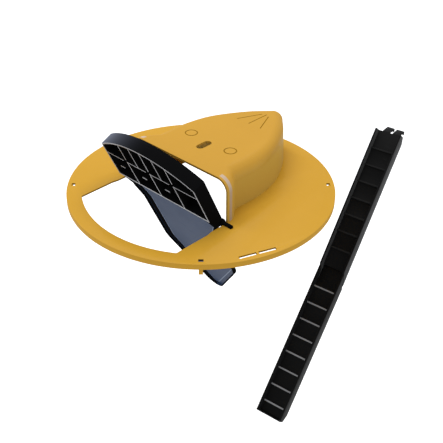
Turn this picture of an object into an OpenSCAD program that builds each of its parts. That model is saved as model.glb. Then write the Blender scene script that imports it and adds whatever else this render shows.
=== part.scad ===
// Bucket-lid mouse trap: a round lid with a mouse-head hood, a see-saw flipper and a two-part ramp.
// The frame's origin is at the lid's centre, on the face that rests on the bucket's rim.
// +Y points to the hood's nose, +X lies along the flipper's axle and +Z is up. Lengths are in millimetres.

/* [Lid] */
// Outer radius of the bucket's rim that the lid covers
bucket_rim_r = 151; // [148:0.5:154]
// How far the lid's edge overhangs the bucket's rim
overhang = 9; // [8.5:0.1:14]
// Thickness of the lid plate
plate_t = 2; // [1.8:0.1:3]
// Depth of the rim that hangs round the edge, from the plate's top
rim_depth = 6.7; // [5:0.1:12]
// Thickness of the rim's wall
rim_wall = 2; // [1.5:0.1:2.5]
// Width of the ring left between the drop opening and the outside of the bucket's rim
seat_w = 9; // [7:0.5:14]
// Half-width of the drop opening between the two ears that carry the flipper's pins
opening_half_w = 79; // [78.5:0.5:82]
// How far each ear reaches in past the opening's side
ear_w = 1.5; // [0.5:0.1:3]
// Length of an ear in front of the axle
ear_len = 21; // [16:1:26]
// Length over which an ear's front end slopes in
ear_slant = 7; // [3:0.5:10]
// Half-width of the drop opening under the hood, where the closed slide stops against the plate
drop_half_w = 54; // [45:1:56]
// Ledge of plate left inside the hood's wall
drop_ledge = 4; // [3:0.5:8]

/* [Rim hooks] */
// Clearance between the hooks and the outside of the bucket's rim
hook_gap = 2.5; // [0.5:0.1:3]
// Radial thickness of a hook
hook_t = 1.5; // [1.2:0.1:1.8]
// Width of a hook along the rim
hook_w = 4.6; // [4:0.1:5.2]
// Length of a hook under the plate
hook_len = 15; // [6:0.5:17]
// How far the hook's barb reaches inwards
hook_barb = 1.9; // [0.8:0.1:2.2]
// Height of the hook's barb
barb_h = 3; // [2:0.1:4]
// Height of the barb's point above the hook's foot
barb_point = 1.6; // [1:0.1:1.9]
// How far the hook's foot is set back from its inner face
barb_foot = 0.3; // [0.2:0.1:1]
// Radial width of the window over each hook
hook_window_t = 2.2; // [1.9:0.1:2.4]
// Length along the rim of the window over each hook
hook_window_w = 5.6; // [5.4:0.1:9]

/* [Ramp slits] */
// Angle of the pair of slits round the lid, from +X
slit_angle = -21.7; // [-30:0.1:-15]
// Width of the strip between the slits and the lid's edge
slit_edge = 6.2; // [5.5:0.1:9]
// Length of one slit
slit_len = 20.5; // [15:0.5:22]
// Width of a slit
slit_w = 4; // [3:0.1:4.5]
// Width of the bar between the two slits
slit_bar = 2.6; // [2:0.1:4]

/* [Hood] */
// Distance of the hood's front edge behind the axle
hood_behind = 5; // [4.6:0.1:6]
// Length of the hood along Y
hood_len = 180.5; // [178:0.5:183]
// Height of the hood above the plate
hood_h = 52; // [45:1:65]
// Wall of the hood
hood_wall = 2.5; // [2:0.1:3]
// How far the nose's sides lean in between the foot and the roof's edge
hood_draft = 2.2; // [0:0.1:3]
// How far the front's sides lean in between the foot and the roof's edge
front_draft = 0.6; // [0:0.1:3]
// Radius of the edge between roof and walls, at the front
hood_edge_r = 16; // [8:1:18]
// Radius of the edge between roof and walls, at the nose
nose_edge_r = 12.5; // [8:0.5:12.5]
// Length of the flare along Y
flare_len = 28.5; // [24:0.5:32]
// Half-width of the neck behind the flare
neck_half_w = 66; // [64:0.5:70]
// Half-width at the cheeks
cheek_half_w = 66; // [64:0.5:70]
// Distance of the cheeks behind the hood's front edge
cheek_at = 69; // [60:1:75]
// Half-width where the snout begins to narrow
snout_half_w = 56.5; // [54:0.5:60]
// Distance of the snout behind the hood's front edge
snout_at = 109; // [100:1:115]
// Half-width where the straight sides of the nose begin
muzzle_half_w = 34; // [30:0.5:38]
// Length of the nose in front of the muzzle
nose_len = 31.5; // [28:0.5:36]
// Radius of the nose in plan
nose_r = 15; // [15:0.5:18]

/* [Face marks] */
// Distance of each eye from the middle line
eye_x = 32; // [28:0.5:36]
// Distance of the eyes behind the hood's front edge
eye_at = 53; // [46:0.5:58]
// Radius of the eye rings
eye_r = 7.2; // [5:0.1:9]
// Width of an engraved line
mark_w = 1; // [0.6:0.1:1.5]
// Depth of an engraved line
mark_depth = 0.6; // [0.3:0.1:1]
// Distance of the roof's slot behind the hood's front edge
slot_at = 42; // [36:0.5:46]
// Length of the slot
slot_len = 20; // [14:0.5:22]
// Width of the slot
slot_w = 9; // [6:0.5:11]
// Distance of the whisker lines' wide ends from the nose's tip
whisker_at = 61; // [56:0.5:66]
// Length of the whisker lines
whisker_len = 34; // [24:1:36]
// Distance of the outer whisker lines from the middle line at their wide ends
whisker_spread = 19; // [14:0.5:21]
// Distance of the outer whisker lines from the middle line near the nose
whisker_close = 4; // [3:0.5:6]

/* [Flipper] */
// Y of the axle
axle_y = -42; // [-44:0.5:-41]
// Height of the axle above the plate's top
axle_rise = 1; // [0.8:0.1:1.2]
// Tilt of the flipper from its closed place, front end up
tilt = 64.5; // [55:0.5:75]
// Radius of the pivot pins
pin_r = 2.5; // [2:0.1:2.8]
// How far each pin rests on the plate past the opening
pin_seat = 11; // [8:0.5:14]
// Radial clearance of a pin in its seat
pin_gap = 0.05; // [0.02:0.01:0.1]
// Clearance past the end of each pin
pin_end_gap = 1; // [0.5:0.1:2]
// Radius of the collar on each pin
collar_r = 3.6; // [3.3:0.1:4.4]
// Gap between a collar and the side of the opening
collar_gap = 1; // [0.5:0.1:2]
// Clearance between the cheeks and the plate behind the axle
cheek_gap = 0.3; // [0.2:0.05:0.4]
// Clearance between the tray's rim and the opening's arc
tray_arc_gap = 5; // [3:0.5:7]
// Clearance between the tray's sides and the opening's sides
tray_side_gap = 3; // [2.8:0.1:4]
// Height of the tray's top face above the axle
tray_top = 2; // [1.5:0.1:3]
// Depth of the tray, from its top face to the edge of its skirt
tray_depth = 16.5; // [14:0.5:19]
// Thickness of the tray's top
tray_plate_t = 2.4; // [2:0.1:3]
// Thickness of the tray's skirt
tray_wall = 2.2; // [1.8:0.1:3]
// Wall of the boss round each pivot pin
boss_wall = 2; // [1.5:0.1:2.2]
// How far the side cheeks reach under the axle
cheek_drop = 8; // [5:0.5:9]
// Distance from the axle to the tray's back wall
tray_back = 17; // [15:0.5:20]
// Thickness of the stiffening ribs
rib_t = 1.4; // [1:0.1:2]
// Distance between the long ribs
rib_pitch = 38; // [34:1:40]
// Distance from the axle to the cross rib
cross_rib_at = 58; // [52:1:64]

/* [Slide] */
// Gap between the plate's underside and the closed slide
slide_gap = 0.3; // [0.2:0.1:1]
// Thickness of the slide's floor
slide_t = 2; // [1.5:0.1:3]
// Distance from the axle to the slide's tip
slide_len = 184; // [170:1:184]
// Half-width of the slide's straight part
slide_half_w = 61; // [58:0.5:64]
// Half-width of the slide's front end
slide_front_half_w = 70; // [68:0.5:72]
// Distance from the axle at which the front end begins to narrow
slide_narrow_from = 9; // [0:0.5:12]
// Distance from the axle at which the slide's straight part begins
slide_narrow_to = 25; // [17:0.5:32]
// Radius of the slide's tip in plan
slide_tip_r = 17.5; // [10:0.5:20]
// Angle of the tapering sides to the middle line
slide_taper = 34.5; // [33:0.5:40]
// Radius of the corners where the sides begin to taper
slide_corner_r = 20; // [5:1:30]
// Thickness of the side walls under the floor
slide_wall = 2; // [1.5:0.1:2.5]
// Depth of the side walls at the far end
slide_skirt = 3; // [2.5:0.5:5]
// Distance from the axle at which the deep walls have thinned out
slide_skirt_at = 5; // [0:1:95]
// Width of a clip arm
clip_w = 8; // [6:0.5:10]
// Thickness of a clip arm
clip_t = 2; // [1.5:0.1:3]
// Distance from the axle to the clips' upright ends
clip_at = 40; // [36:0.5:44]
// Clearance round a clip arm in the back wall
clip_gap = 0.3; // [0.2:0.05:0.5]
// Height of a clip's lower end above the edge of the tray's skirt
clip_rise = 0.5; // [0.2:0.1:2]

/* [Ramp] */
// Width of the ramp
ramp_w = 35; // [32:0.5:42]
// Length of the ramp, both sections
ramp_len = 384; // [376:1:400]
// Length of the upper section
ramp_upper_len = 183; // [174:1:186]
// Depth of the ramp's side walls
ramp_depth = 15; // [11:0.5:16]
// Depth of the walking floor under the walls' top edges
ramp_floor_at = 7.5; // [5:0.5:8.5]
// Thickness of the walking floor
ramp_floor_t = 1.8; // [1.5:0.1:2.5]
// Thickness of the ramp's side walls
ramp_wall = 2.5; // [1.5:0.1:3]
// Slant cut off the walls' lower corners, along the ramp
ramp_slant = 9; // [6:0.5:12]
// Slant of the walls' ends where the sections meet, along the ramp
joint_slant = 17; // [10:0.5:20]
// Length of the tongue under the upper section's floor
tongue_len = 20; // [14:0.5:24]
// Running clearance round the tongue
tongue_gap = 0.3; // [0.2:0.05:0.5]
// Distance between rungs
rung_pitch = 22.4; // [20:0.1:24]
// Rungs on the upper section
upper_rungs = 7; // [5:1:7]
// Rungs on the lower section
lower_rungs = 8; // [6:1:8]
// Height of a rung above the floor
rung_h = 2; // [1:0.1:3]
// Thickness of a rung along the ramp
rung_t = 2; // [1.2:0.1:3]
// Distance from the top end to the first rung
rung_start = 24; // [20:0.5:28]
// Distance from the foot to the last rung
rung_end = 15; // [8:0.5:18]
// Thickness of the foot's cross wall
foot_wall_t = 2; // [1.5:0.1:3]
// Width of a hook tab
tab_w = 10; // [8:0.5:12.5]
// Length of a hook tab
tab_len = 12.5; // [9:0.5:14]
// Thickness of a hook tab
tab_t = 1.5; // [1.2:0.1:1.8]
// Clearance between a hook tab's lip and the bar between the slits
tab_gap = 0.3; // [0.2:0.1:0.6]
// Length of the lip that drops into the slit
tab_lip = 3; // [2:0.5:7]
// How far the pair of tabs sits to the right of the ramp's middle
tab_off = 1.5; // [0:0.5:2]
// Clearance between the slanted ends where the sections meet
joint_gap = 1; // [0.6:0.1:2]
// How much shallower the lower section lies than the upper one
ramp_bend = 3; // [0:0.5:4]
// Slope of the ramp's upper section
ramp_pitch = 51.5; // [40:0.5:65]
// Turn of the ramp about the upright
ramp_yaw = 7.5; // [0:0.5:15]
// X of the middle of the ramp's top end
ramp_x = 119; // [110:1:135]
// Y of the middle of the ramp's top end
ramp_y = 210; // [195:1:225]
// Z of the ramp's top end
ramp_z = 40; // [20:1:60]

/* [Hidden] */
$fn = 96;
eps = 0.01;
cut = 1;
big = 400;
lid_colour = "goldenrod";
black = "dimgray";
slate = "slategray";
lid_r = bucket_rim_r + overhang;
opening_r = bucket_rim_r - seat_w;
hook_r = bucket_rim_r + hook_gap;
hook_angle = 45;
slit_r = lid_r - slit_edge - slit_w / 2;
slit_split = slit_len + slit_bar;
axle_z = plate_t + axle_rise;
pin_end = opening_half_w + pin_seat;
hood_front = axle_y + hood_behind;
hood_tip = hood_front + hood_len;
flare_half_w = opening_half_w;
slide_drop = plate_t + axle_rise + slide_gap;
tab_split = slit_bar + 2 * tab_gap;
lower_step = ramp_floor_t + tongue_gap;

// ---------- shared helpers ----------

// Half outline [x, y] made into a closed outline with both sides
function mirrored(half) = [for (i = [len(half) - 1 : -1 : 0]) [-half[i][0], half[i][1]]];
function both_sides(half) = concat(half, mirrored(half));

// Point between knots b and c of a smooth curve through the knots a, b, c and d
function between(a, b, c, d, t) =
    (2 * b + (c - a) * t + (2 * a - 5 * b + 4 * c - d) * t * t + (3 * b - a - 3 * c + d) * t * t * t) / 2;

// ---------- hood: a stack of outlines that lean in and round over into the roof ----------

flare_steps = 8;
// Above 1, the flare leaves the front edge more slowly than it joins the neck
flare_skew = 1.5;
knot_steps = 6;
nose_steps = 7;
edge_steps = 8;
cheek_y = hood_front + cheek_at;
snout_y = hood_front + snout_at;
muzzle_y = hood_tip - nose_len;
nose_centre = hood_tip - nose_r;
// The nose's arc begins where the straight line from the muzzle touches it
muzzle_gap = norm([muzzle_half_w, muzzle_y - nose_centre]);
arc_from = atan2(muzzle_y - nose_centre, muzzle_half_w) + acos(nose_r / muzzle_gap);
function nose_point(a) = [nose_r * cos(a), nose_centre + nose_r * sin(a)];
neck_end = [neck_half_w, hood_front + flare_len];
knots = [
    neck_end - [0, cheek_at - flare_len], neck_end, [cheek_half_w, cheek_y], [snout_half_w, snout_y],
    [muzzle_half_w, muzzle_y], nose_point(arc_from), 2 * nose_point(arc_from) - [muzzle_half_w, muzzle_y]
];

// Half plan of the hood's foot, from the flared front edge to the nose's tip
hood_half_plan = concat(
    [for (i = [0 : flare_steps - 1]) let (u = i / flare_steps, fall = (1 + cos(180 * pow(u, flare_skew))) / 2)
        [neck_half_w + (flare_half_w - neck_half_w) * fall, hood_front + flare_len * u]],
    [for (k = [1 : len(knots) - 3]) for (i = [0 : knot_steps - 1])
        between(knots[k - 1], knots[k], knots[k + 1], knots[k + 2], i / knot_steps)],
    [for (i = [0 : nose_steps]) nose_point(arc_from + (90 - arc_from) * i / nose_steps)]
);
hood_last = len(hood_half_plan) - 1;

// How far a plan point has turned towards the nose: 0 along the sides, 1 on the snout
turn_from = 12;
turn_over = 50;
function turn_at(y) = let (u = min(max((y - cheek_y + turn_from) / turn_over, 0), 1)) u * u * (3 - 2 * u);

// Direction in which plan point i moves outwards: square to the sides, then round the nose
function run_at(i) = hood_half_plan[min(i + 1, hood_last)] - hood_half_plan[max(i - 1, 0)];
function outward(i) = let (
        a = i == hood_last ? 90 : atan2(-run_at(i)[0], run_at(i)[1]) * turn_at(hood_half_plan[i][1])
    ) [cos(a), sin(a)];

// Plan point i moved inwards by d, never past the nose's own centre
nose_inset = 0.97 * nose_r;
function inset_point(i, d) =
    hood_half_plan[i] - min(d, nose_inset + (1 - turn_at(hood_half_plan[i][1])) * d) * outward(i);

// One closed outline of the hood, wall in from the outside, at step e of the edge's rounding
function edge_r_at(y) = hood_edge_r + (nose_edge_r - hood_edge_r) * turn_at(y);
function draft_at(y) = front_draft + (hood_draft - front_draft) * turn_at(y);
function hood_ring(wall, e, base) = let (
        half = [for (i = [0 : hood_last]) let (
                a = 90 * e / edge_steps,
                r = edge_r_at(hood_half_plan[i][1]) - wall,
                xy = inset_point(i, wall + (e < 0 ? 0 : draft_at(hood_half_plan[i][1]) + r * (1 - cos(a)))),
                z = e < 0 ? base : plate_t + hood_h - wall - r * (1 - sin(a))
            ) [i == hood_last ? 0 : xy[0], i == 0 ? hood_front - (wall > 0 ? cut : 0) : xy[1], z]]
    ) concat(half, [for (i = [hood_last - 1 : -1 : 0]) [-half[i][0], half[i][1], half[i][2]]]);

// Faces that close a mirrored outline whose first point is base: strips that run straight across
function end_strips(tip, base) = concat(
    [for (k = [0 : tip - 2]) [base + k, base + k + 1, base + 2 * tip - k - 1, base + 2 * tip - k]],
    [[base + tip - 1, base + tip, base + tip + 1]]
);
function turned_over(faces) = [for (f = faces) [for (k = [len(f) - 1 : -1 : 0]) f[k]]];

// A solid through a stack of mirrored outlines
module stack(rings) {
    n = len(rings[0]);
    tip = (n - 1) / 2;
    last = len(rings) - 1;
    polyhedron(
        points = [for (ring = rings) for (p = ring) p],
        faces = concat(
            end_strips(tip, 0),
            [for (i = [0 : last - 1]) for (k = [0 : n - 1])
                [i * n + k, (i + 1) * n + k, (i + 1) * n + (k + 1) % n]],
            [for (i = [0 : last - 1]) for (k = [0 : n - 1])
                [i * n + k, (i + 1) * n + (k + 1) % n, i * n + (k + 1) % n]],
            turned_over(end_strips(tip, last * n))
        ),
        convexity = 6
    );
}

module face_marks() {
    roof = plate_t + hood_h;
    translate([0, 0, roof - mark_depth]) {
        for (side = [-1, 1])
            translate([side * eye_x, hood_front + eye_at])
                difference() {
                    cylinder(r = eye_r + mark_w / 2, h = mark_depth + cut, $fn = 48);
                    translate([0, 0, -cut])
                        cylinder(r = eye_r - mark_w / 2, h = mark_depth + 3 * cut, $fn = 48);
                }
        for (side = [-1, 0, 1])
            translate([side * whisker_spread, hood_tip - whisker_at])
                rotate(side * atan2(whisker_spread - whisker_close, whisker_len))
                    translate([-mark_w / 2, 0])
                        cube([mark_w, whisker_len, mark_depth + cut]);
    }
    translate([0, hood_front + slot_at, roof - hood_wall - cut])
        linear_extrude(hood_wall + 2 * cut) {
            for (end = [-1, 1])
                translate([0, end * (slot_len - slot_w) / 2])
                    circle(d = slot_w, $fn = 32);
            square([slot_w, slot_len - slot_w], center = true);
        }
}

module hood() {
    color(lid_colour)
        difference() {
            stack([for (e = [-1 : edge_steps]) hood_ring(0, e, plate_t)]);
            stack([for (e = [-1 : edge_steps]) hood_ring(hood_wall, e, plate_t - cut)]);
            face_marks();
        }
}

// ---------- lid ----------

drop_narrow_to = hood_front + flare_len;

// The opening: a half-moon in front, the ears, a throat inside the hood's front, then the hood's
// own outline less a ledge
module opening_outline() {
    ears_at = axle_y - ear_len;
    throat_half_w = tray_half_w + cheek_gap;
    intersection() {
        circle(r = opening_r);
        polygon(both_sides([
            [opening_half_w + ear_w, -opening_r], [opening_half_w + ear_w, ears_at - ear_slant],
            [opening_half_w, ears_at], [opening_half_w, hood_front - cut],
            [throat_half_w, hood_front - cut], [throat_half_w, hood_front + eps],
            [drop_half_w, drop_narrow_to], [drop_half_w, drop_narrow_to + eps]
        ]));
    }
    intersection() {
        translate([-drop_half_w, drop_narrow_to])
            square([2 * drop_half_w, hood_len]);
        polygon(both_sides([for (i = [0 : hood_last]) inset_point(i, hood_wall + drop_ledge)]));
    }
}

module ramp_slits() {
    for (side = [-1, 1])
        rotate(slit_angle)
            translate([slit_r, side * slit_split / 2])
                square([slit_w, slit_len], center = true);
}

module hook_windows() {
    for (quarter = [0 : 3])
        rotate(hook_angle + 90 * quarter)
            translate([hook_r + hook_t - hook_window_t, -hook_window_w / 2])
                square([hook_window_t, hook_window_w]);
}

module lid_plate() {
    color(lid_colour)
        difference() {
            linear_extrude(plate_t)
                difference() {
                    circle(r = lid_r - rim_wall, $fn = 180);
                    opening_outline();
                    ramp_slits();
                    hook_windows();
                }
            for (side = [-1, 1])
                translate([side * (opening_half_w + pin_seat / 2), axle_y, axle_z])
                    rotate([0, 90, 0])
                        cylinder(r = pin_r + pin_gap, h = pin_seat + 2 * pin_end_gap, center = true);
        }
}

module lid_rim() {
    color(lid_colour)
        translate([0, 0, plate_t - rim_depth])
            difference() {
                cylinder(r = lid_r, h = rim_depth, $fn = 180);
                translate([0, 0, -cut])
                    cylinder(r = lid_r - rim_wall, h = rim_depth + 2 * cut, $fn = 180);
            }
}

// A hook stands against its window's outer side and has a barb at its foot
module rim_hook(quarter) {
    color(lid_colour)
        rotate(hook_angle + 90 * quarter)
            translate([hook_r, hook_w / 2, 0])
                rotate([90, 0, 0])
                    linear_extrude(hook_w)
                        polygon([
                            [0, plate_t / 2], [hook_t, plate_t / 2],
                            [hook_t, -hook_len], [barb_foot, -hook_len], [-hook_barb, -hook_len + barb_point],
                            [0, -hook_len + barb_h]
                        ]);
}

// ---------- flipper: modelled closed, about its axle, then tilted ----------

tray_half_w = opening_half_w - tray_side_gap;
tray_r = opening_r - tray_arc_gap;
skirt_bottom = tray_top - tray_depth;

module flipper_place() {
    translate([0, axle_y, axle_z])
        rotate([-tilt, 0, 0])
            children();
}

module tray_outline(inset) {
    intersection() {
        translate([0, -axle_y])
            circle(r = tray_r - inset, $fn = 180);
        translate([-tray_half_w + inset, -big])
            square([2 * (tray_half_w - inset), big - tray_back - inset]);
    }
}

// Side cheek that carries a pivot pin behind the tray
module tray_cheek(side) {
    boss_r = pin_r + boss_wall;
    join = boss_r * 0.9;
    translate([side > 0 ? tray_half_w - tray_wall : -tray_half_w, 0, 0])
        rotate([90, 0, 90])
            linear_extrude(tray_wall)
                difference() {
                    union() {
                        circle(r = boss_r, $fn = 48);
                        polygon([
                            [-tray_back, tray_top], [-boss_r / 2, tray_top],
                            [0, join], [join, 0], [0, -cheek_drop], [-tray_back, skirt_bottom]
                        ]);
                    }
                    circle(r = pin_r, $fn = 48);
                }
}

module tray() {
    color(black)
        flipper_place() {
            difference() {
                translate([0, 0, skirt_bottom])
                    linear_extrude(tray_depth)
                        tray_outline(0);
                translate([0, 0, skirt_bottom - cut])
                    linear_extrude(tray_depth - tray_plate_t + cut)
                        tray_outline(tray_wall);
                for (i = [0 : 2])
                    clip_arm(i, clip_gap);
            }
            for (side = [-1, 1])
                tray_cheek(side);
        }
}

module tray_ribs() {
    rib_top = tray_top - tray_plate_t;
    rib_depth = rib_top - skirt_bottom;
    color(black)
        flipper_place()
            translate([0, 0, skirt_bottom])
                linear_extrude(rib_depth)
                    intersection() {
                        tray_outline(tray_wall);
                        union() {
                            translate([-big / 2, -cross_rib_at - rib_t / 2])
                                square([big, rib_t]);
                            for (i = [-1 : 1])
                                translate([i * rib_pitch - rib_t / 2, -cross_rib_at])
                                    square([rib_t, cross_rib_at]);
                            for (i = [-2 : 2])
                                translate([i * rib_pitch / 2 - rib_t / 2, -big])
                                    square([rib_t, big - cross_rib_at]);
                        }
                    }
}

module pivot_pin(side) {
    color(black)
        flipper_place()
            mirror([side > 0 ? 0 : 1, 0, 0])
                rotate([0, 90, 0]) {
                    translate([0, 0, tray_half_w - tray_wall])
                        cylinder(r = pin_r, h = pin_end - tray_half_w + tray_wall, $fn = 48);
                    translate([0, 0, tray_half_w])
                        cylinder(r = collar_r, h = tray_side_gap - collar_gap, $fn = 48);
                }
}

// Half outline of the slide, from its front end to its tip, moved inwards by d
function slide_half_outline(d) = let (
        r = slide_tip_r - d,
        w = slide_half_w - d,
        centre = slide_len - slide_tip_r,
        k = (w - r * cos(slide_taper)) / sin(slide_taper),
        corner_r = slide_corner_r - d,
        corner_y = centre + r * sin(slide_taper) - k * cos(slide_taper) - corner_r * tan(slide_taper / 2)
    ) concat(
    [
        [slide_front_half_w - d, -tray_back + d],
        [slide_front_half_w - d, slide_narrow_from],
        [w, slide_narrow_to]
    ],
    [for (i = [0 : 4]) let (a = slide_taper * i / 4)
        [w - corner_r + corner_r * cos(a), corner_y + corner_r * sin(a)]],
    [for (i = [0 : 6]) let (a = slide_taper + (90 - slide_taper) * i / 6)
        [r * cos(a), centre + r * sin(a)]]
);

module slide() {
    floor_bottom = -slide_drop - slide_t;
    color(slate)
        flipper_place() {
            translate([0, 0, floor_bottom])
                linear_extrude(slide_t)
                    polygon(both_sides(slide_half_outline(0)));
            intersection() {
                translate([0, 0, skirt_bottom])
                    linear_extrude(floor_bottom - skirt_bottom)
                        difference() {
                            polygon(both_sides(slide_half_outline(0)));
                            polygon(both_sides(slide_half_outline(slide_wall)));
                        }
                translate([-big / 2, 0, 0])
                    rotate([90, 0, 90])
                        linear_extrude(big)
                            polygon([
                                [-tray_back, 0], [slide_len, 0],
                                [slide_len, floor_bottom - slide_skirt],
                                [slide_skirt_at, floor_bottom - slide_skirt],
                                [-tray_back, skirt_bottom]
                            ]);
            }
        }
}

// Clip arm i of three reaches from the slide's front end through the tray's back wall
module clip_arm(i, gap) {
    x = (i - 1.5) * rib_pitch;
    arm_z = -slide_drop - slide_t;
    translate([x - clip_w / 2 - gap, -clip_at - gap, arm_z - gap])
        cube([clip_w + 2 * gap, clip_at - tray_back + gap + eps * (gap > 0 ? 1 : 0), clip_t + 2 * gap]);
}

module slide_clip(i) {
    x = (i - 1.5) * rib_pitch;
    color(black)
        flipper_place() {
            clip_arm(i, 0);
            translate([x - clip_w / 2, -clip_at, skirt_bottom + clip_rise])
                cube([clip_w, clip_t, -slide_drop - slide_t - skirt_bottom]);
        }
}

// ---------- ramp: modelled along -Y with its walls' top edges at z = 0, then placed ----------

module ramp_place() {
    translate([ramp_x, ramp_y, ramp_z])
        rotate([ramp_pitch, 0, ramp_yaw])
            children();
}

// Side walls from a free end, square down to the floor's underside and slanted below it, to a joint
module ramp_walls(end, joint_top, joint_low) {
    slant = joint_top > end ? ramp_slant : -ramp_slant;
    for (side = [0, 1])
        translate([side * (ramp_w - ramp_wall) - ramp_w / 2, 0, 0])
            rotate([90, 0, 90])
                linear_extrude(ramp_wall)
                    polygon([
                        [-end, 0], [-joint_top, 0], [-joint_low, -ramp_depth],
                        [-end - slant, -ramp_depth], [-end, -ramp_floor_at - ramp_floor_t]
                    ]);
}

module ramp_floor(from, to) {
    translate([-ramp_w / 2 + ramp_wall - eps, -to, -ramp_floor_at - ramp_floor_t])
        cube([ramp_w - 2 * ramp_wall + 2 * eps, to - from, ramp_floor_t]);
}

module rungs(first, count) {
    for (i = [0 : count - 1])
        translate([-ramp_w / 2 + ramp_wall, -first - i * rung_pitch - rung_t / 2, -ramp_floor_at - eps])
            cube([ramp_w - 2 * ramp_wall, rung_t, rung_h + eps]);
}

module ramp_upper() {
    color(black)
        ramp_place() {
            ramp_walls(0, ramp_upper_len, ramp_upper_len + joint_slant);
            ramp_floor(0, ramp_upper_len);
            rungs(rung_start, upper_rungs);
        }
}

// A level tab over the bucket's edge, grown from the floor's end face, with a lip for a slit
module ramp_hook(side) {
    floor_end = [-ramp_floor_t * sin(ramp_pitch), ramp_floor_t * cos(ramp_pitch)];
    color(black)
        ramp_place()
            translate([
                tab_off + side * (tab_w + tab_split) / 2 - tab_w / 2, 0, -ramp_floor_at - ramp_floor_t
            ])
                rotate([-ramp_pitch, 0, 0])
                    rotate([90, 0, 90])
                        linear_extrude(tab_w)
                            polygon([
                                [0, 0], [tab_len - tab_t, 0], [tab_len - tab_t, -tab_lip],
                                [tab_len, -tab_lip], [tab_len, tab_t], [0, tab_t], floor_end
                            ]);
}

// The lower section turns about the underside of the upper floor's end
module ramp_bend_place() {
    hinge = [0, -ramp_upper_len, -ramp_floor_at - ramp_floor_t];
    translate(hinge)
        rotate([-ramp_bend, 0, 0])
            translate([0, 0, -lower_step] - hinge)
                children();
}

module ramp_lower() {
    last_rung = ramp_len - rung_end;
    wall_from = ramp_upper_len + joint_gap + joint_slant * lower_step / ramp_depth;
    floor_from = ramp_upper_len + joint_slant + joint_gap;
    tongue_w = ramp_w - 2 * (ramp_wall + tongue_gap);
    color(black)
        ramp_place()
            ramp_bend_place() {
                ramp_walls(ramp_len, wall_from, wall_from + joint_slant);
                ramp_floor(floor_from, ramp_len);
                rungs(last_rung - (lower_rungs - 1) * rung_pitch, lower_rungs);
                translate([-ramp_w / 2, -ramp_len, -ramp_floor_at])
                    cube([ramp_w, foot_wall_t, ramp_floor_at]);
                translate([-tongue_w / 2, -floor_from - eps, -ramp_floor_at - ramp_floor_t])
                    cube([tongue_w, tongue_len + floor_from - ramp_upper_len + eps, ramp_floor_t]);
            }
}

lid_plate();
lid_rim();
rim_hook(0);  // rim_hook_rear_right
rim_hook(1);  // rim_hook_rear_left
rim_hook(2);  // rim_hook_front_left
rim_hook(3);  // rim_hook_front_right
hood();
tray();
tray_ribs();
pivot_pin(-1);  // pivot_pin_left
pivot_pin(1);  // pivot_pin_right
slide();
slide_clip(0);  // slide_clip_left
slide_clip(1);  // slide_clip_middle
slide_clip(2);  // slide_clip_right
ramp_upper();
ramp_hook(-1);  // ramp_hook_left
ramp_hook(1);  // ramp_hook_right
ramp_lower();
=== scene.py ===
# %% [markdown]
# # A bucket-lid mouse trap
# The trap is a round yellow lid for a bucket, with a hood shaped like a mouse's head, a black see-saw
# flipper that hangs in the lid's opening, and a loose ramp in two sections. The solids with their joints
# come ready made. This lesson gives them rounded edges, a smooth hood and moulded plastic. Everything is
# in metres, and the lid's middle is the origin.

# %% Load the solids and note their size
from math import acos, atan2, cos, hypot, pi, radians, sin
import bpy
from mathutils import Matrix, Vector


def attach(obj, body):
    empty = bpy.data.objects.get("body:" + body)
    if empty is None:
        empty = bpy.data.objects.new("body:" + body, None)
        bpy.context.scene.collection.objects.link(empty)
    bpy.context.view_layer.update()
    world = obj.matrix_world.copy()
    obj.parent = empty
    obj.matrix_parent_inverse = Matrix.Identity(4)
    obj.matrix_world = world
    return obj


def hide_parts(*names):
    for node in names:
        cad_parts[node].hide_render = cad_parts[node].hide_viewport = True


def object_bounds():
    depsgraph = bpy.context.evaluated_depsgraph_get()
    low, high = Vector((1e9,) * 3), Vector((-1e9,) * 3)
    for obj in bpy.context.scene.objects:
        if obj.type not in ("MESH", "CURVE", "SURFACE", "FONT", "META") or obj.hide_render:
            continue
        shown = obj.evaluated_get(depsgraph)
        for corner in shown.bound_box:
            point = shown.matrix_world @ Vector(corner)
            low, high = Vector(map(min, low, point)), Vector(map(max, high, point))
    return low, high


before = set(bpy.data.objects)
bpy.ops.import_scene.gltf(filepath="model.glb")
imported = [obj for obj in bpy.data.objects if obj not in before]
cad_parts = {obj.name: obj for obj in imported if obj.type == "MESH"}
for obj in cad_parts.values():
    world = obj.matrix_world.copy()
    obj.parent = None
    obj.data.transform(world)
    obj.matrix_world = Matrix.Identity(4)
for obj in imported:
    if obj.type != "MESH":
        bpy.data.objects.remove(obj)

solid_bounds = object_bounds()
print("solids:", sorted(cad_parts))

# %% [markdown]
# ## Camera
# The camera looks down at about 34 degrees from the front right. A long lens keeps the round lid close to
# a true ellipse. The small sideways shift moves the trap a little left in the frame.

# %% Camera
bpy.ops.object.camera_add(location=(0.5776, -0.5776, 0.4950), rotation=(radians(56.22), 0, radians(45)))
camera = bpy.context.object
camera.name = "camera"
camera.data.lens = 64.54
camera.data.shift_x = 0.0466
bpy.context.scene.camera = camera
print("camera lens", camera.data.lens, "mm")

# %% [markdown]
# ## Studio
# A pale floor and a bright, even sky give the soft light of a product picture. One large lamp overhead
# brightens the faces that look up, so the hood's sides turn slightly darker than its roof. It is wide, so
# no shadow has a hard edge. A weak, bluish lamp at the front left lights the front of the flipper.

# %% Floor, sky and lamps
def floor_below(height):
    bpy.ops.mesh.primitive_plane_add(size=14, location=(0, 0, height))
    floor = bpy.context.object
    floor.name = "floor"
    pale = bpy.data.materials.new("pale_floor")
    pale.use_nodes = True
    shader = pale.node_tree.nodes["Principled BSDF"]
    shader.inputs["Base Color"].default_value = (0.97, 0.97, 0.97, 1)
    shader.inputs["Roughness"].default_value = 0.9
    floor.data.materials.append(pale)


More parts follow.
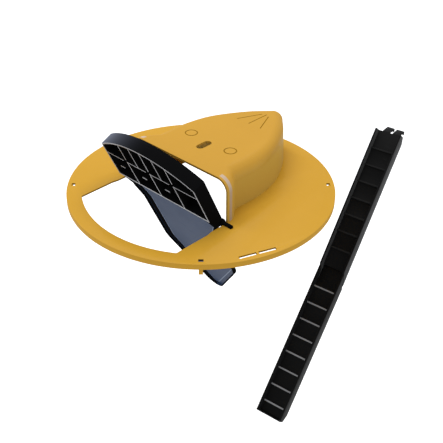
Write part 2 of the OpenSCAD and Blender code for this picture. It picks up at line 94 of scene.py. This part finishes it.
def lamp(name, place, aim, size, power, tint=(1, 1, 1)):
    bpy.ops.object.light_add(type="AREA", location=place)
    light = bpy.context.object
    light.name = name
    light.rotation_euler = (Vector(aim) - Vector(place)).to_track_quat("-Z", "Y").to_euler()
    light.data.size = size
    light.data.energy = power
    light.data.color = tint


floor_gap = 0.3
floor_below(solid_bounds[0][2] - floor_gap)
lamp("overhead", (-0.5, 0.3, 1.9), (0, 0, 0), 2.2, 40)
lamp("front_left", (-1.6, -1.5, 0.9), (0, 0, 0), 1.2, 6, (0.93, 0.96, 1))

sky = bpy.data.worlds.new("sky")
sky.use_nodes = True
backdrop = sky.node_tree.nodes["Background"]
backdrop.inputs["Color"].default_value = (0.97, 0.98, 1, 1)
backdrop.inputs["Strength"].default_value = 1.05
bpy.context.scene.world = sky
bpy.context.scene.view_settings.view_transform = "Standard"
print("studio ready")

# %% [markdown]
# ## Writing materials as sums
# A material is a tree of nodes. A small class that stands for one node's output lets plain arithmetic
# build that tree: `1 - mask` adds a Math node by itself. Colours can't be added that way, so `mix` lays
# one colour over another, and the wire says how much of the second one shows.

# %% A wire between nodes
class Wire:
    def __init__(self, tree, socket=None):
        self.tree = tree
        self.socket = socket

    def make(self, kind, settings, inlets, outlet=0):
        node = self.tree.nodes.new(kind)
        for name, value in settings.items():
            setattr(node, name, value)
        for name, value in inlets.items():
            if isinstance(value, Wire):
                self.tree.links.new(value.socket, node.inputs[name])
            else:
                node.inputs[name].default_value = value
        return Wire(self.tree, node.outputs[outlet])

    def math(self, operation, first, second):
        return self.make("ShaderNodeMath", {"operation": operation}, {0: first, 1: second})

    def __add__(self, other):
        return self.math("ADD", self, other)

    def __sub__(self, other):
        return self.math("SUBTRACT", self, other)

    def __rsub__(self, other):
        return self.math("SUBTRACT", other, self)

    def __mul__(self, other):
        return self.math("MULTIPLY", self, other)

    __radd__ = __add__
    __rmul__ = __mul__

    def between(self, low, high):
        return self.make("ShaderNodeMapRange", {}, {"Value": self, "From Min": low, "From Max": high})

    def mix(self, first, second):
        return self.make("ShaderNodeMix", {"data_type": "RGBA"}, {0: self, 6: first, 7: second}, 2)

    def into(self, shader, inlet):
        self.tree.links.new(self.socket, shader.inputs[inlet])


print("wire ready")

# %% [markdown]
# ## Moulded plastic
# Polypropylene is satin rather than glossy. Its mould leaves a fine grain, the colour drifts a little
# where the melt flowed, and handling leaves short faint scuffs. Three noise patterns make these: a slow
# one for colour, a fine one for grain, and a stretched one for the scuffs.

# %% Plastic maker
def plastic(name, colour, drift, roughness, grain, scuff, coat=0, specular=0):
    material = bpy.data.materials.new(name)
    material.use_nodes = True
    tree = material.node_tree
    shader = tree.nodes["Principled BSDF"]
    place = Wire(tree).make("ShaderNodeTexCoord", {}, {}, "Object")

    def noise(vector, scale, detail):
        return place.make("ShaderNodeTexNoise", {}, {"Vector": vector, "Scale": scale, "Detail": detail})

    flow = noise(place, 16.0, 3.0).between(0.3, 0.7)
    stretched = place.make("ShaderNodeMapping", {}, {"Vector": place, "Rotation": (0, 0, 0.7), "Scale": (40, 620, 330)})
    scuffs = noise(stretched, 1.0, 2.0).between(0.66, 0.78)
    fine = noise(place, 1400.0, 2.0)

    worn = tuple(min(c * 1.25 + 0.02, 1) for c in colour)
    tint = flow.mix((*colour, 1), (*drift, 1))
    (scuffs * scuff).mix(tint, (*worn, 1)).into(shader, "Base Color")
    (roughness + flow * 0.06 + scuffs * 0.12 - 0.03).into(shader, "Roughness")
    bump = place.make("ShaderNodeBump", {}, {"Strength": grain, "Distance": 0.00004, "Height": fine + scuffs * -0.4})
    bump.into(shader, "Normal")
    shader.inputs["Coat Weight"].default_value = coat
    shader.inputs["Coat Roughness"].default_value = 0.3
    shader.inputs["Specular IOR Level"].default_value = specular
    return material


black_tones = (0.0030, 0.0030, 0.0032), (0.0038, 0.0038, 0.0041)

amber = plastic("amber_lid_plastic", (0.425, 0.230, 0.023), (0.410, 0.221, 0.022), 0.36, 0.25, 0.08, coat=0.15)
hood_amber = plastic("amber_hood_plastic", (0.400, 0.216, 0.028), (0.386, 0.208, 0.027), 0.36, 0.25, 0.08, coat=0.15)
painted_groove_shade = plastic("amber_painted_groove_shade", (0.24, 0.125, 0.010), (0.23, 0.12, 0.010), 0.4, 0.2, 0.05)
shade = plastic("amber_deep_shade", (0.020, 0.011, 0.003), (0.018, 0.010, 0.003), 0.5, 0.2, 0.05)
flare_sheen = plastic("amber_flare_sheen", (0.39, 0.29, 0.205), (0.37, 0.275, 0.19), 0.36, 0.2, 0.1, specular=0.1)

black = plastic("black_flipper_plastic", *black_tones, 0.34, 0.3, 0.2)
skirt = plastic("black_skirt_plastic", *black_tones, 0.34, 0.3, 0.2)
painted_edge_highlight = plastic("black_rib_painted_highlights", (0.24, 0.24, 0.25), (0.19, 0.19, 0.20), 0.4, 0.2, 0.2, specular=0.2)
slate = plastic("slate_slide_plastic", (0.019, 0.034, 0.071), (0.017, 0.030, 0.064), 0.4, 0.25, 0.15, specular=0.03)
slate_painted_highlight = plastic("slate_slide_painted_highlight", (0.10, 0.13, 0.19), (0.09, 0.115, 0.17), 0.4, 0.25, 0.15, specular=0.05)

ramp_black = plastic("black_ramp_plastic", (0.0025,) * 3, (0.0035,) * 3, 0.45, 0.35, 0.2, specular=0.04)
ramp_wall_painted_sheen = plastic("black_ramp_walls_painted_sheen", (0.036,) * 3, (0.042,) * 3, 0.45, 0.35, 0.2, specular=0.02)
ramp_faint_painted_light = plastic("black_ramp_faint_painted_light", (0.009,) * 3, (0.012,) * 3, 0.45, 0.3, 0.3, specular=0.02)
rung_painted_highlight = plastic("rung_crest_painted_highlights", (0.19, 0.19, 0.195), (0.14, 0.14, 0.145), 0.45, 0.3, 0.3, specular=0.1)
print("materials:", len(bpy.data.materials))

# %% [markdown]
# Two finishes change over a piece, and both are painted light. The tray's skirt turns from black to a
# pale grey-blue where it curves away at its left end, a painted reflection of the sky. The hood's walls
# are painted a little greener than its roof, a painted shade for how they are lit, and greyest at the
# nose, a painted reflection. A mix along one coordinate draws each change, and the share's cube keeps
# most of the skirt black.

# %% Finishes that change over a piece
def share_along(material, axis, start, end):
    place = Wire(material.node_tree).make("ShaderNodeTexCoord", {}, {}, "Object")
    return place.make("ShaderNodeSeparateXYZ", {}, {0: place}, axis).between(start, end)


def lay_over(material, share, colour):
    shader = material.node_tree.nodes["Principled BSDF"]
    plain = Wire(material.node_tree, shader.inputs["Base Color"].links[0].from_socket)
    share.mix(plain, colour).into(shader, "Base Color")


# Painted reflection: the skirt pales towards its left end.
leftwards = share_along(skirt, 0, 0.020, -0.076)
lay_over(skirt, leftwards * leftwards * leftwards, (0.115, 0.125, 0.16, 1))
# Painted shade on the hood's walls, turning to a painted reflection towards the nose.
painted_wall_shade_and_reflection = share_along(hood_amber, 1, 0.080, 0.128).mix((0.440, 0.275, 0.050, 1), (0.435, 0.290, 0.085, 1))
lay_over(hood_amber, share_along(hood_amber, 2, 0.048, 0.036), painted_wall_shade_and_reflection)
print("hood's finish has", len(hood_amber.node_tree.nodes), "nodes")

# %% [markdown]
# ## Modelling helpers
# Each piece goes through the same few moves: select it alone, apply a modifier, cut something away, and
# round its edges. Rounded edges matter most, because they catch the light that shows a moulding's shape.

# %% Helpers
def only(piece):
    bpy.ops.object.select_all(action="DESELECT")
    piece.select_set(True)
    bpy.context.view_layer.objects.active = piece


def modify(piece, kind, **settings):
    only(piece)
    modifier = piece.modifiers.new(kind.title(), kind)
    for name, value in settings.items():
        setattr(modifier, name, value)
    bpy.ops.object.modifier_apply(modifier=modifier.name)


def settle(piece, name):
    only(piece)
    bpy.ops.object.transform_apply(location=True, rotation=True, scale=True)
    piece.name = piece.data.name = name


def paint(piece, *materials):
    piece.data.materials.clear()
    for material in materials:
        piece.data.materials.append(material)


def cut_away(piece, tool, finish=0):
    if finish:
        paint(tool, *piece.data.materials)
        for face in tool.data.polygons:
            face.material_index = finish
    modify(piece, "BOOLEAN", operation="DIFFERENCE", object=tool, solver="EXACT")
    bpy.data.objects.remove(tool)


def shade_smooth(piece):
    only(piece)
    bpy.ops.object.shade_smooth_by_angle(angle=radians(35))


def round_edges(piece, width, above=40):
    modify(piece, "BEVEL", width=width, segments=2, limit_method="ANGLE", angle_limit=radians(above))
    shade_smooth(piece)


def dress(piece, body, finish, *nodes):
    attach(piece, body)
    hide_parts(*nodes)
    print(piece.name, "stands for", *nodes, "with", len(piece.data.polygons), "faces")


def prism(outline, low, high):
    bpy.ops.mesh.primitive_circle_add(vertices=len(outline), fill_type="NGON")
    piece = bpy.context.object
    for vertex, (x, y) in zip(piece.data.vertices, outline):
        vertex.co = (x, y, low)
    bpy.ops.object.mode_set(mode="EDIT")
    bpy.ops.mesh.select_all(action="SELECT")
    bpy.ops.mesh.extrude_region_move(TRANSFORM_OT_translate={"value": (0, 0, high - low)})
    bpy.ops.mesh.select_all(action="SELECT")
    bpy.ops.mesh.normals_make_consistent(inside=False)
    bpy.ops.object.mode_set(mode="OBJECT")
    return piece


def block(place, size, turn=(0, 0, 0)):
    bpy.ops.mesh.primitive_cube_add(size=1, location=place, rotation=turn, scale=size)
    return bpy.context.object


def rod(place, radius, length, turn=(0, 0, 0), sides=48):
    bpy.ops.mesh.primitive_cylinder_add(vertices=sides, radius=radius, depth=length, location=place, rotation=turn)
    return bpy.context.object


print("helpers ready")

# %% [markdown]
# ## The hood's outline
# The hood's plan begins wide at the open front, narrows in an S to a neck, swells at the cheeks and runs
# to a round nose. A smooth curve through a few knots gives the side, and an arc gives the nose. Both the
# hood and the opening below it follow this outline.

# %% Outline points
plate_top = 0.002
hood_front, hood_len = -0.037, 0.1805
hood_tip = hood_front + hood_len
flare_half_w, neck_half_w, flare_len = 0.079, 0.066, 0.0285
nose_r, nose_len, muzzle_half_w = 0.015, 0.0315, 0.034
cheek_at, snout_at, snout_half_w = 0.069, 0.109, 0.0565
roof_z = plate_top + 0.052
hood_wall = 0.0025

flare_steps, side_steps, nose_steps = 28, 18, 18
flare_lag = 1.5

nose_centre = hood_tip - nose_r
muzzle = (muzzle_half_w, hood_tip - nose_len)
reach = hypot(muzzle[0], muzzle[1] - nose_centre)
arc_from = atan2(muzzle[1] - nose_centre, muzzle[0]) + acos(nose_r / reach)


def nose_point(angle):
    return nose_r * cos(angle), nose_centre + nose_r * sin(angle)


def curve_point(a, b, c, d, t):
    return tuple((2 * q + (r - p) * t + (2 * p - 5 * q + 4 * r - s) * t ** 2 + (3 * q - p - 3 * r + s) * t ** 3) / 2
                 for p, q, r, s in zip(a, b, c, d))


def hood_outline():
    neck = (neck_half_w, hood_front + flare_len)
    first_nose = nose_point(arc_from)
    knots = [(neck_half_w, neck[1] - cheek_at + flare_len), neck, (neck_half_w, hood_front + cheek_at),
             (snout_half_w, hood_front + snout_at), muzzle, first_nose,
             (2 * first_nose[0] - muzzle[0], 2 * first_nose[1] - muzzle[1])]
    points = []
    for step in range(flare_steps):
        u = step / flare_steps
        fall = (1 + cos(pi * u ** flare_lag)) / 2
        points.append((neck_half_w + (flare_half_w - neck_half_w) * fall, hood_front + flare_len * u))
    for k in range(1, len(knots) - 2):
        points += [curve_point(*knots[k - 1:k + 3], step / side_steps) for step in range(side_steps)]
    points += [nose_point(arc_from + (pi / 2 - arc_from) * step / nose_steps) for step in range(nose_steps + 1)]
    return points


outline = hood_outline()
print("hood outline has", len(outline), "points on each side")

# %% [markdown]
# Along the straight sides the outline moves inwards sideways only. From the cheeks on it turns more and
# more to its own normal, and at the nose it stops just short of the arc's middle.

# %% Moving the outline inwards
turn_before, turn_len = 0.012, 0.050
arc_share = 0.97


def turned(y):
    u = min(max((y - (hood_front + cheek_at) + turn_before) / turn_len, 0), 1)
    return u * u * (3 - 2 * u)


def inset(i, distance):
    x, y = outline[i]
    before, after = outline[max(i - 1, 0)], outline[min(i + 1, len(outline) - 1)]
    angle = pi / 2 if i == len(outline) - 1 else atan2(before[0] - after[0], after[1] - before[1]) * turned(y)
    step = min(distance, arc_share * nose_r + (1 - turned(y)) * distance)
    return x - step * cos(angle) if i < len(outline) - 1 else 0.0, y - step * sin(angle)


print("front corner moved in by 16 mm:", inset(0, 0.016))

# %% [markdown]
# ## The lid
# On the real trap the plate, its rim, the openings and the small pin seats come out of one mould, so
# there is no joint line between plate and rim. One disc is hollowed from below, the openings are cut
# through it, and the edges are rounded last. The cutters give the openings' narrow walls a painted shade,
# a darker amber, and the small windows over the hooks a painted shade darker still, because hardly any
# light reaches into them.

# %% Lid disc with its openings
lid_r, rim_depth, rim_wall = 0.160, 0.0067, 0.002
opening_r, wide_half_w, drop_half_w = 0.142, 0.0805, 0.054
ear_half_w, ears_at, ear_slant, throat_half_w = 0.079, -0.063, 0.007, 0.0763
throat_lead, hood_ledge = 0.001, 0.004
axle_y, axle_z = -0.042, 0.003
lid_sides, arc_steps = 256, 40
through = 0.02


def opening():
    front = [wide_half_w * k / arc_steps for k in range(arc_steps + 1)]
    half = [(x, -(opening_r ** 2 - x ** 2) ** 0.5) for x in front]
    half += [(wide_half_w, ears_at - ear_slant), (ear_half_w, ears_at), (ear_half_w, hood_front - throat_lead),
             (throat_half_w, hood_front - throat_lead), (throat_half_w, hood_front),
             (drop_half_w, hood_front + flare_len)]
    under_hood = [inset(i, hood_wall + hood_ledge) for i in range(len(outline))]
    half += [(min(x, drop_half_w), y) for x, y in under_hood if y > hood_front + flare_len]
    return half + [(-x, y) for x, y in reversed(half) if x > 1e-6]


lid = rod((0, 0, plate_top - rim_depth / 2), lid_r, rim_depth, sides=lid_sides)
cut_away(lid, rod((0, 0, -through / 2), lid_r - rim_wall, through, sides=lid_sides))
# Painted shade: faces that the cutters below leave take the darker amber, and the hook windows the darkest.
paint(lid, amber, painted_groove_shade, shade)
cut_away(lid, prism(opening(), -through / 2, through / 2), finish=1)
print("lid has", len(lid.data.polygons), "faces after the opening")

# %% Slits, hook windows and pin seats
slit_turn = radians(-21.7)
slit_r, slit_apart, slit_w, slit_len = 0.1518, 0.01155, 0.004, 0.0205
seat_x, seat_r, seat_len = 0.0845, 0.00255, 0.013
window_r, window_t, window_w = 0.1529, 0.0042, 0.0056

for side in (-1, 1):
    middle = Matrix.Rotation(slit_turn, 3, "Z") @ Vector((slit_r, side * slit_apart, 0))
    cut_away(lid, block(middle, (slit_w, slit_len, through), (0, 0, slit_turn)), finish=1)
    cut_away(lid, rod((side * seat_x, axle_y, axle_z), seat_r, seat_len, (0, pi / 2, 0)))
for quarter in range(4):
    turn = radians(45 + 90 * quarter)
    middle = (window_r * cos(turn), window_r * sin(turn), 0)
    cut_away(lid, block(middle, (window_t, window_w, through), (0, 0, turn)), finish=2)
settle(lid, "lid_moulding")
round_edges(lid, 0.00045)
dress(lid, "lid", "lid_plastic", "lid_plate", "lid_rim")

# %% [markdown]
# ## The hood
# The hood is a shell 2.5 mm thick. Half of its outside is made as one sheet of quads: from the foot up
# the slightly leaning side, round the edge and across the roof. It is mirrored, its faces are turned
# outwards, and it gets its thickness inwards, so the round edge stays smooth all the way to the nose.

# %% Hood shell
wall_rows, edge_rows, roof_rows = 5, 24, 10
side_edge_r, nose_edge_r = 0.016, 0.0125
side_draft, nose_draft = 0.0006, 0.0022


def hood_column(i):
    y = outline[i][1]
    radius = side_edge_r + (nose_edge_r - side_edge_r) * turned(y)
    draft = side_draft + (nose_draft - side_draft) * turned(y)
    wall_top = roof_z - radius
    rows = [(inset(i, draft * k / wall_rows), plate_top + (wall_top - plate_top) * k / wall_rows)
            for k in range(wall_rows)]
    for k in range(edge_rows + 1):
        angle = pi / 2 * k / edge_rows
        rows.append((inset(i, draft + radius * (1 - cos(angle))), roof_z - radius * (1 - sin(angle))))
    edge_x, edge_y = rows[-1][0]
    rows += [((edge_x * (1 - k / roof_rows), edge_y), roof_z) for k in range(1, roof_rows + 1)]
    return [(x, y, z) for (x, y), z in rows]


def hood_sheet():
    columns = [hood_column(i) for i in range(len(outline))]
    across, along = len(columns[0]), len(columns)
    bpy.ops.mesh.primitive_grid_add(x_subdivisions=across - 1, y_subdivisions=along - 1, size=1)
    sheet = bpy.context.object
    for vertex in sheet.data.vertices:
        column = round((vertex.co.y + 0.5) * (along - 1))
        row = round((vertex.co.x + 0.5) * (across - 1))
        vertex.co = columns[column][row]
    bpy.ops.object.mode_set(mode="EDIT")
    bpy.ops.mesh.select_all(action="SELECT")
    bpy.ops.mesh.remove_doubles(threshold=2e-6)
    bpy.ops.object.mode_set(mode="OBJECT")
    return sheet


hood = hood_sheet()
modify(hood, "MIRROR", use_axis=(True, False, False), merge_threshold=1e-5)
bpy.ops.object.mode_set(mode="EDIT")
bpy.ops.mesh.select_all(action="SELECT")
bpy.ops.mesh.flip_normals()
bpy.ops.object.mode_set(mode="OBJECT")
modify(hood, "SOLIDIFY", thickness=hood_wall, offset=-1, use_even_offset=False)
round_edges(hood, 0.0006, above=50)
print("hood has", len(hood.data.polygons), "faces")

# %% [markdown]
# ## The mouse's face
# Two rings for eyes and three fanned whiskers are pressed into the roof, and a slot for a fingertip goes
# through it. Rings are cut with thin tori and whiskers with lying rods, which leave half-round grooves. A
# cutter passes its finish on to the faces that it leaves, so the grooves come out darker: a painted shade.

# %% Eyes, whiskers and slot
eye_r, eye_x, eye_at, eye_groove_r = 0.0072, 0.032, 0.053, 0.0007
whisker_len, whisker_from, whisker_groove_r = 0.034, 0.061, 0.0006
whisker_apart, whisker_close = 0.019, 0.004
slot_r, slot_half, slot_at, slot_steps = 0.005, 0.006, 0.042, 16
below_roof, above_roof = 0.006, 0.003

# Painted light on the hood: the second finish is a painted sheen on the flare, the third a painted shade in the
# grooves.
paint(hood, hood_amber, flare_sheen, painted_groove_shade)
for side in (-1, 1):
    bpy.ops.mesh.primitive_torus_add(major_radius=eye_r, minor_radius=eye_groove_r, major_segments=72,
                                     minor_segments=12, location=(side * eye_x, hood_front + eye_at, roof_z))
    cut_away(hood, bpy.context.object, finish=2)

for side in (-1, 0, 1):
    lean = side * atan2(whisker_apart - whisker_close, whisker_len)
    middle = (side * whisker_apart - sin(lean) * whisker_len / 2,
              hood_tip - whisker_from + cos(lean) * whisker_len / 2, roof_z)
    cut_away(hood, rod(middle, whisker_groove_r, whisker_len, (pi / 2, 0, lean), sides=16), finish=2)

slot = [(slot_r * cos(a), slot_half + slot_r * sin(a)) for a in (pi * k / slot_steps for k in range(slot_steps + 1))]
slot += [(-x, -y) for x, y in slot]
cut_away(hood, prism([(x, y + hood_front + slot_at) for x, y in slot], roof_z - below_roof, roof_z + above_roof))
settle(hood, "hood_moulding")
shade_smooth(hood)
print("hood has", len(hood.data.polygons), "faces with its grooves")

# %% [markdown]
# A painted sheen, a pale reflection, runs up the outside of the flare, a few millimetres behind the hood's open edge.

# %% Sheen on the flare
sheen_from, sheen_to, sheen_beyond_x = 0.0026, 0.0082, 0.05
# Painted sheen: these faces take the flare's second finish.
for face in hood.data.polygons:
    behind_edge = face.center.y - hood_front
    looks_out = face.normal.x * face.center.x > 0
    if sheen_from < behind_edge < sheen_to and abs(face.center.x) > sheen_beyond_x and looks_out:
        face.material_index = 1
print("faces by finish:", [sum(face.material_index == k for face in hood.data.polygons) for k in range(3)])
dress(hood, "lid", "lid_plastic", "hood")

# %% [markdown]
# ## Pieces that keep their solid's form
# The flipper, the ramp and the hooks already have their true forms, and only lack rounded edges. A copy
# of each solid is merged, its flat areas are joined into whole faces, and its edges are rounded.

# %% Rounded copies
def rounded_copy(node, name, width, *materials, cutters=()):
    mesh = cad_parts[node].data.copy()
    piece = bpy.data.objects.new(name, mesh)
    bpy.context.scene.collection.objects.link(piece)
    mesh.name = name
    only(piece)
    bpy.ops.object.mode_set(mode="EDIT")
    bpy.ops.mesh.select_all(action="SELECT")
    bpy.ops.mesh.remove_doubles(threshold=1e-6)
    bpy.ops.mesh.dissolve_limited(angle_limit=radians(1))
    bpy.ops.object.mode_set(mode="OBJECT")
    for cutter in cutters:
        cut_away(piece, cutter)
    paint(piece, *materials)
    round_edges(piece, width)
    return piece


for corner in ("rear_right", "rear_left", "front_left", "front_right"):
    hook = rounded_copy("rim_hook_" + corner, "hook_" + corner, 0.0002, amber)
    dress(hook, "lid", "lid_plastic", "rim_hook_" + corner)

# %% [markdown]
# ## The flipper
# The tray's underside is a box of ribs. Its pockets stay dark, while the ribs' flat edges catch the light,
# so those edges get a painted highlight, and so do the like edges of the tray and the clips. They are found
# by their direction and by their height in the tray. At each crossing the ribs' lower edges are notched, so
# the painted highlights break there.

# %% Where a face lies in the tilted flipper
tilt = radians(64.5)
flipper_up = Vector((0, sin(tilt), cos(tilt)))


def flipper_height(point):
    return (point - Vector((0, axle_y, axle_z))).dot(flipper_up)


def flipper_point(x, y, z):
    return Vector((0, axle_y, axle_z)) + Matrix.Rotation(-tilt, 3, "X") @ Vector((x, y, z))


flipper_along = flipper_point(0, 1, 0) - flipper_point(0, 0, 0)


def flipper_reach(point):
    return (point - Vector((0, axle_y, axle_z))).dot(flipper_along)


# Paints a highlight on the flat faces that look down, below the given height.
def paint_edge_highlights(piece, level):
    lit = [face for face in piece.data.polygons
           if face.normal.dot(flipper_up) < -0.7 and flipper_height(face.center) < level]
    for face in lit:
        face.material_index = 1
    print(piece.name, "has", len(lit), "light edge faces")


print("flipper points up along", tuple(round(c, 3) for c in flipper_up))

# %% Flipper tray, ribs, pins and clips
rib_pitch, cross_rib_at, rib_t, rib_foot = 0.038, 0.058, 0.0018, -0.0145
notch_w, notch_h = 0.0056, 0.010
rib_edge_level, clip_edge_level = -0.0142, -0.0136

notches = []
for k in (-1, 0, 1):
    beside = (k * rib_pitch - rib_t / 2 - notch_w / 2, -cross_rib_at, rib_foot)
    beyond = (k * rib_pitch - notch_w / 2 + rib_t / 2, -cross_rib_at - 1.5 * rib_t, rib_foot)
    for middle, size in ((beside, (notch_w, rib_t, notch_h)), (beyond, (notch_w, 2 * rib_t, notch_h))):
        notches.append(block(flipper_point(*middle), size, (-tilt, 0, 0)))
ribs = rounded_copy("tray_ribs", "tray_rib_grid", 0.00025, black, painted_edge_highlight, cutters=notches)
paint_edge_highlights(ribs, rib_edge_level)
dress(ribs, "flipper", "black_plastic", "tray_ribs")

tray = rounded_copy("tray", "tray_shell", 0.0005, black, painted_edge_highlight, skirt)
# The skirt's outer faces take the third finish, with its painted reflection at the left end.
skirt_r, skirt_from = 0.136, -0.060
for face in tray.data.polygons:
    across, along = face.center.x, flipper_reach(face.center) + axle_y
    if hypot(across, along) > skirt_r and along < skirt_from:
        face.material_index = 2
paint_edge_highlights(tray, rib_edge_level)
dress(tray, "flipper", "black_plastic", "tray")

for side in ("left", "middle", "right"):
    clip = rounded_copy("slide_clip_" + side, "clip_" + side, 0.0003, black, painted_edge_highlight)
    paint_edge_highlights(clip, clip_edge_level)
    dress(clip, "flipper", "black_plastic", "slide_clip_" + side)
for side in ("left", "right"):
    pin = rounded_copy("pivot_pin_" + side, "pin_" + side, 0.0004, black)
    dress(pin, "flipper", "black_plastic", "pivot_pin_" + side)

# %% [markdown]
# ## The slide
# A mouse slides down this half of the see-saw. Its floor is slate-coloured, while the thin walls and a
# border along the left one are black. The floor's face is inset twice: once for the black border, whose
# right side and tip are then pushed out again, and once for a narrow line inside it with a painted
# highlight. Round the tip's right side, the border and the wall's inside are slate too.

# %% Slide with dark walls
slide_floor_level, tip_from = -0.0054, 0.130
black_border, light_line = 0.010, 0.0012
push_right, push_along = 0.008, 0.007


def on_floor(face, side):
    return side * face.normal.dot(flipper_up) > 0.9 and flipper_height(face.center) > slide_floor_level


def in_tip(face, beyond_x):
    return face.center.x > beyond_x and flipper_reach(face.center) > tip_from


def share_past(value, start, length):
    return min(max((value - start) / length, 0), 1)


def inset_selected(piece, thickness, finish):
    for face in piece.data.polygons:
        if face.select:
            face.material_index = finish
    bpy.ops.object.mode_set(mode="EDIT")
    bpy.ops.mesh.select_mode(type="FACE")
    bpy.ops.mesh.inset(thickness=thickness)
    bpy.ops.object.mode_set(mode="OBJECT")


slide = rounded_copy("slide", "slide_floor_and_walls", 0.0004, slate, black, slate_painted_highlight)
for face in slide.data.polygons:
    looks_left = abs(face.normal.dot(flipper_up)) < 0.5 and face.normal.x < 0
    is_slate = on_floor(face, 1) or on_floor(face, -1) or in_tip(face, 0) and looks_left
    face.material_index = 0 if is_slate else 1
under = max((face for face in slide.data.polygons if on_floor(face, -1)), key=lambda face: face.area)
for face in slide.data.polygons:
    face.select = face.index == under.index

inset_selected(slide, black_border, finish=1)
for vertex in slide.data.vertices:
    if vertex.select:
        vertex.co.x += push_right * share_past(vertex.co.x, 0, 0.020)
        vertex.co += flipper_along * push_along * share_past(flipper_reach(vertex.co), 0.120, 0.040)
# The narrow line takes the third finish, a painted highlight.
inset_selected(slide, light_line, finish=2)
for face in slide.data.polygons:
    tip_border = face.material_index == 1 and on_floor(face, -1) and in_tip(face, 0.004)
    if face.select or tip_border:
        face.material_index = 0
dress(slide, "flipper", "slate_plastic", "slide")

# %% [markdown]
# ## The ramp
# The ramp is a shallow channel in two sections that push together. Rungs cross its floor for grip, and
# two tabs at the top drop into the lid's slits. Its side walls get a painted sheen that makes them a little
# paler than its floor, and the crests of the rungs a painted highlight, brightest on the lower section; the
# lower section's walls and the upper section's crests get only a faint one. A crest is known by how far it
# lies below the walls' top.

# %% Ramp sections and tabs
ramp_turn, ramp_slope, ramp_bend = radians(7.5), radians(51.5), radians(3)
ramp_across = Vector((cos(ramp_turn), sin(ramp_turn), 0))
crest_from, crest_to = 0.005, 0.006


# Paints light on the ramp: walls take a painted sheen, rung crests a painted highlight.
def paint_ramp_sheen(piece, slope):
    up = Vector((sin(ramp_turn) * sin(slope), -cos(ramp_turn) * sin(slope), cos(slope)))
    top = max(vertex.co.dot(up) for vertex in piece.data.vertices)
    for face in piece.data.polygons:
        below = top - face.center.dot(up)
        if abs(face.normal.dot(ramp_across)) > 0.9:
            face.material_index = 1
        elif face.normal.dot(up) > 0.9 and crest_from < below < crest_to:
            face.material_index = 2
    print(piece.name, "rung crests:", sum(face.material_index == 2 for face in piece.data.polygons))


for node, name, body, slope, wall, crest in (
        ("ramp_upper", "ramp_top_section", "ramp", ramp_slope, ramp_wall_painted_sheen, ramp_faint_painted_light),
        ("ramp_lower", "ramp_foot_section", "ramp_foot", ramp_slope - ramp_bend, ramp_faint_painted_light, rung_painted_highlight)):
    section = rounded_copy(node, name, 0.0004, ramp_black, wall, crest)
    paint_ramp_sheen(section, slope)
    dress(section, body, "black_plastic", node)
for side in ("left", "right"):
    tab = rounded_copy("ramp_hook_" + side, "tab_" + side, 0.0003, ramp_black)
    dress(tab, "ramp", "black_plastic", "ramp_hook_" + side)
